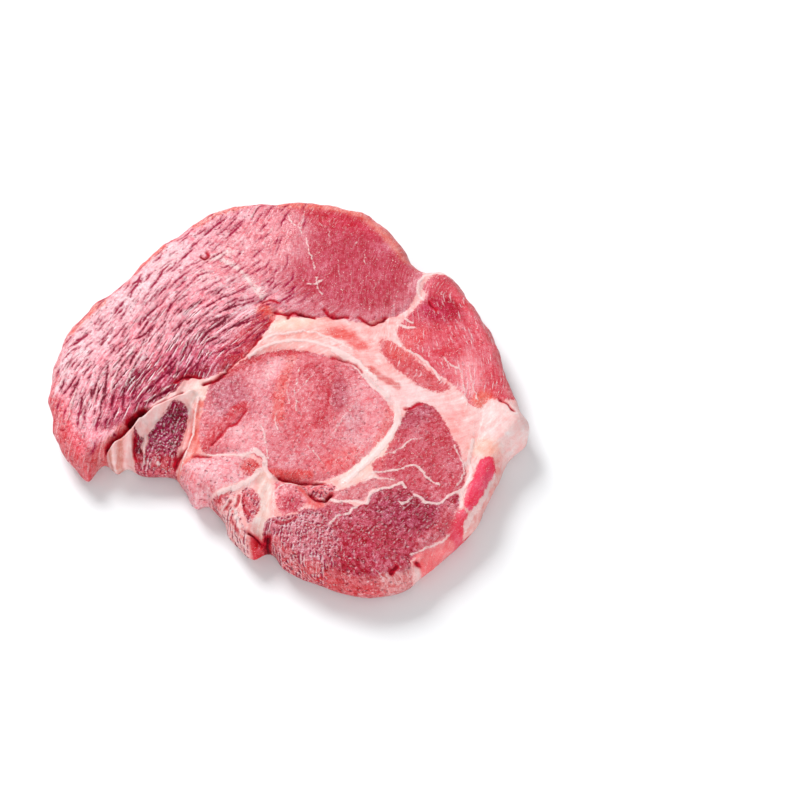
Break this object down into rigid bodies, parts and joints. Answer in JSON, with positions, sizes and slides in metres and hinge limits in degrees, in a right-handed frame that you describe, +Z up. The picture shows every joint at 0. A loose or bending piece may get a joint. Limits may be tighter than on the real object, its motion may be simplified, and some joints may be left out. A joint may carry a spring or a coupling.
{
  "type": "raw boneless meat steak",
  "caption": "Thick boneless slice of raw red shoulder meat with muscle seams, marbling and a knob of fat, lying flat.",
  "frame": {"origin": "on the surface it lies on, under the middle of the slice's box", "axes": "+Z up through the thickness of the slice, +X towards the knob of fat, +Y towards the back of the large coarse-grained cap muscle"},
  "size_m": [0.18, 0.176, 0.0184],
  "materials": {
    "raw_meat": null
  },
  "bodies": {
    "root": {"meat_slice": "raw_meat"}
  },
  "joints": []
}
